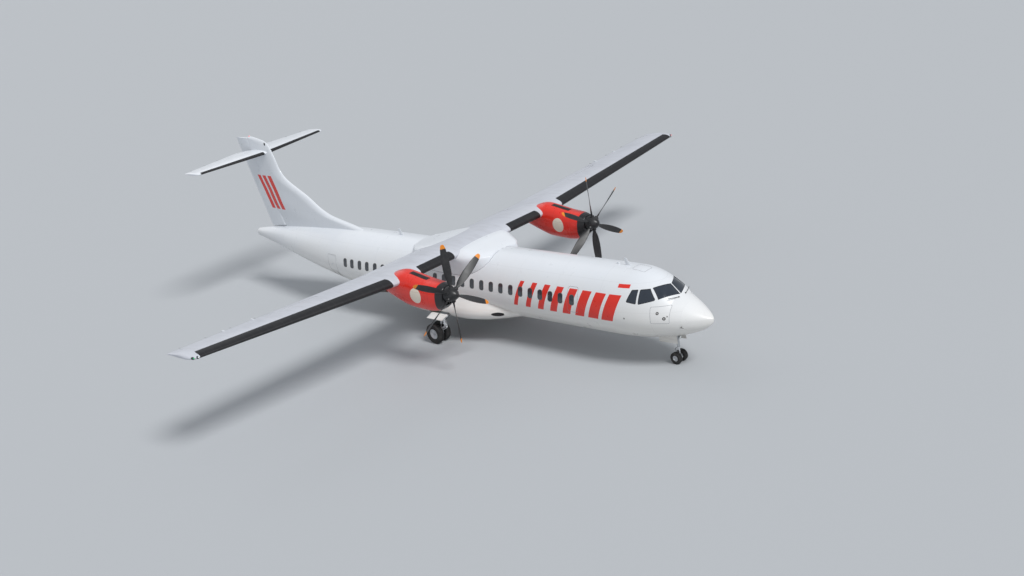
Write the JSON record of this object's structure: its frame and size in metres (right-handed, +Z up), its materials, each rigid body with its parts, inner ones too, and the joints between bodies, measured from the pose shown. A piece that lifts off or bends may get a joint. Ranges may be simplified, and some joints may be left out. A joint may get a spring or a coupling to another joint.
{
  "type": "turboprop airliner",
  "caption": "High-wing twin turboprop regional airliner with a T-tail, parked on its gear; propellers, control surfaces, doors and wheels move.",
  "frame": {"origin": "on the ground at the middle of the length, under the fuselage centreline", "axes": "+X forward to the nose, +Y to port, +Z up"},
  "size_m": [27.166, 27.05, 7.65],
  "materials": {
    "white_paint": "gloss",
    "white_composite": "gloss",
    "red_paint": "gloss",
    "grey_paint": "satin",
    "glass": "gloss",
    "black_paint": "satin",
    "blade_composite": "satin",
    "gear_steel": "satin",
    "tyre": "matt"
  },
  "bodies": {
    "airframe": {"nose_radome": "white_composite", "cockpit_section": "white_paint", "cockpit_glazing": "glass", "forward_fuselage": "white_paint", "centre_fuselage": "white_paint", "aft_fuselage": "white_paint", "tail_cone": "white_paint", "service_door": "white_paint", "wing_fuselage_fairing": "white_composite", "wing_centre": "grey_paint", "wing_outer_left": "grey_paint", "wing_outer_right": "grey_paint", "fin": "white_composite", "fin_cap": "white_composite", "tailplane": "white_composite", "main_gear_fairing_left": "white_paint", "main_gear_fairing_right": "white_paint", "nacelle_left": "red_paint", "nacelle_right": "red_paint", "engine_left": "gear_steel", "engine_right": "gear_steel", "main_gear_leg_left": "gear_steel", "main_gear_leg_right": "gear_steel", "main_gear_arm_left": "gear_steel", "main_gear_arm_right": "gear_steel", "main_gear_shock_left": "gear_steel", "main_gear_shock_right": "gear_steel", "main_gear_door_left": "white_paint", "main_gear_door_right": "white_paint", "nose_gear_leg": "gear_steel", "nose_gear_door_left": "white_paint", "nose_gear_door_right": "white_paint"},
    "propeller_left_body": {"propeller_left": "blade_composite", "spinner_left": "black_paint"},
    "propeller_right_body": {"propeller_right": "blade_composite", "spinner_right": "black_paint"},
    "nose_steering": {"nose_gear_fork": "gear_steel"},
    "nose_wheels": {"nose_axle": "gear_steel", "nose_tyre_left": "tyre", "nose_tyre_right": "tyre"},
    "main_wheels_left": {"main_axle_left": "gear_steel", "main_tyre_inner_left": "tyre", "main_tyre_outer_left": "tyre"},
    "main_wheels_right": {"main_axle_right": "gear_steel", "main_tyre_inner_right": "tyre", "main_tyre_outer_right": "tyre"},
    "cargo_door_body": {"cargo_door": "white_paint"},
    "passenger_door_body": {"passenger_door": "white_paint"},
    "rudder_body": {"rudder": "white_composite"},
    "inner_flap_left_body": {"inner_flap_left": "grey_paint"},
    "outer_flap_left_body": {"outer_flap_left": "grey_paint"},
    "aileron_left_body": {"aileron_left": "grey_paint"},
    "spoiler_left_body": {"spoiler_left": "grey_paint"},
    "elevator_left_body": {"elevator_left": "white_composite"},
    "inner_flap_right_body": {"inner_flap_right": "grey_paint"},
    "outer_flap_right_body": {"outer_flap_right": "grey_paint"},
    "aileron_right_body": {"aileron_right": "grey_paint"},
    "spoiler_right_body": {"spoiler_right": "grey_paint"},
    "elevator_right_body": {"elevator_right": "white_composite"}
  },
  "joints": [
    {"name": "inner_flap_left_swing", "type": "hinge", "parent": "airframe", "child": "inner_flap_left_body", "pos_m": [0.5098, 1.72, 3.41654], "axis": [0, -1, 0], "range_deg": [0, 35]},
    {"name": "outer_flap_left_swing", "type": "hinge", "parent": "airframe", "child": "outer_flap_left_body", "pos_m": [0.51252, 4.64, 3.42963], "axis": [-0.0143, -0.9976, -0.068], "range_deg": [0, 35]},
    {"name": "aileron_left_swing", "type": "hinge", "parent": "airframe", "child": "aileron_left_body", "pos_m": [0.62043, 9.24, 3.96858], "axis": [-0.0123, -0.9981, -0.0605], "range_deg": [-14, 14]},
    {"name": "spoiler_left_swing", "type": "hinge", "parent": "airframe", "child": "spoiler_left_body", "pos_m": [0.86379, 7.25, 3.99289], "axis": [0.0008, 0.9988, 0.0496], "range_deg": [0, 57]},
    {"name": "elevator_left_swing", "type": "hinge", "parent": "airframe", "child": "elevator_left_body", "pos_m": [-12.42494, 0.19, 6.887], "axis": [-0.0324, -0.9995, 0], "range_deg": [-23, 16]},
    {"name": "inner_flap_right_swing", "type": "hinge", "parent": "airframe", "child": "inner_flap_right_body", "pos_m": [0.5098, -1.72, 3.41654], "axis": [0, -1, 0], "range_deg": [0, 35]},
    {"name": "outer_flap_right_swing", "type": "hinge", "parent": "airframe", "child": "outer_flap_right_body", "pos_m": [0.51252, -4.64, 3.42963], "axis": [0.0143, -0.9976, 0.068], "range_deg": [0, 35]},
    {"name": "aileron_right_swing", "type": "hinge", "parent": "airframe", "child": "aileron_right_body", "pos_m": [0.62043, -9.24, 3.96858], "axis": [0.0123, -0.9981, 0.0605], "range_deg": [-14, 14]},
    {"name": "spoiler_right_swing", "type": "hinge", "parent": "airframe", "child": "spoiler_right_body", "pos_m": [0.86379, -7.25, 3.99289], "axis": [-0.0008, 0.9988, -0.0496], "range_deg": [0, 57]},
    {"name": "elevator_right_swing", "type": "hinge", "parent": "airframe", "child": "elevator_right_body", "pos_m": [-12.42494, -0.19, 6.887], "axis": [0.0324, -0.9995, 0], "range_deg": [-23, 16]},
    {"name": "rudder_swing", "type": "hinge", "parent": "airframe", "child": "rudder_body", "pos_m": [-11.107, 0, 3.33], "axis": [-0.3226, 0, 0.9465], "range_deg": [-27, 27]},
    {"name": "cargo_door_swing", "type": "hinge", "parent": "airframe", "child": "cargo_door_body", "pos_m": [9.983, 1.17254, 2.93], "axis": [1, -0.0066, 0], "range_deg": [0, 95]},
    {"name": "passenger_door_swing", "type": "hinge", "parent": "airframe", "child": "passenger_door_body", "pos_m": [-5.917, 0.93717, 1.54], "axis": [-0.9696, -0.2448, 0], "range_deg": [0, 130]},
    {"name": "propeller_left_spin", "type": "hinge", "parent": "airframe", "child": "propeller_left_body", "pos_m": [4.783, 4.075, 3.34], "axis": [1, 0, 0], "continuous": true},
    {"name": "propeller_right_spin", "type": "hinge", "parent": "airframe", "child": "propeller_right_body", "pos_m": [4.783, -4.075, 3.34], "axis": [1, 0, 0], "continuous": true},
    {"name": "main_wheels_left_roll", "type": "hinge", "parent": "airframe", "child": "main_wheels_left", "pos_m": [1.033, 2.05, 0.432], "axis": [0, 1, 0], "continuous": true},
    {"name": "main_wheels_right_roll", "type": "hinge", "parent": "airframe", "child": "main_wheels_right", "pos_m": [1.033, -2.05, 0.432], "axis": [0, 1, 0], "continuous": true},
    {"name": "nose_gear_steer", "type": "hinge", "parent": "airframe", "child": "nose_steering", "pos_m": [11.823, 0, 0.4], "axis": [0, 0, 1], "range_deg": [-60, 60]},
    {"name": "nose_wheels_roll", "type": "hinge", "parent": "nose_steering", "child": "nose_wheels", "pos_m": [11.783, 0, 0.225], "axis": [0, 1, 0], "continuous": true}
  ],
  "couplings": [
    {"joint": "inner_flap_left_swing", "follows": "outer_flap_left_swing", "ratio": 1},
    {"joint": "inner_flap_right_swing", "follows": "outer_flap_left_swing", "ratio": 1},
    {"joint": "outer_flap_right_swing", "follows": "outer_flap_left_swing", "ratio": 1},
    {"joint": "aileron_right_swing", "follows": "aileron_left_swing", "ratio": -1},
    {"joint": "elevator_right_swing", "follows": "elevator_left_swing", "ratio": 1}
  ]
}
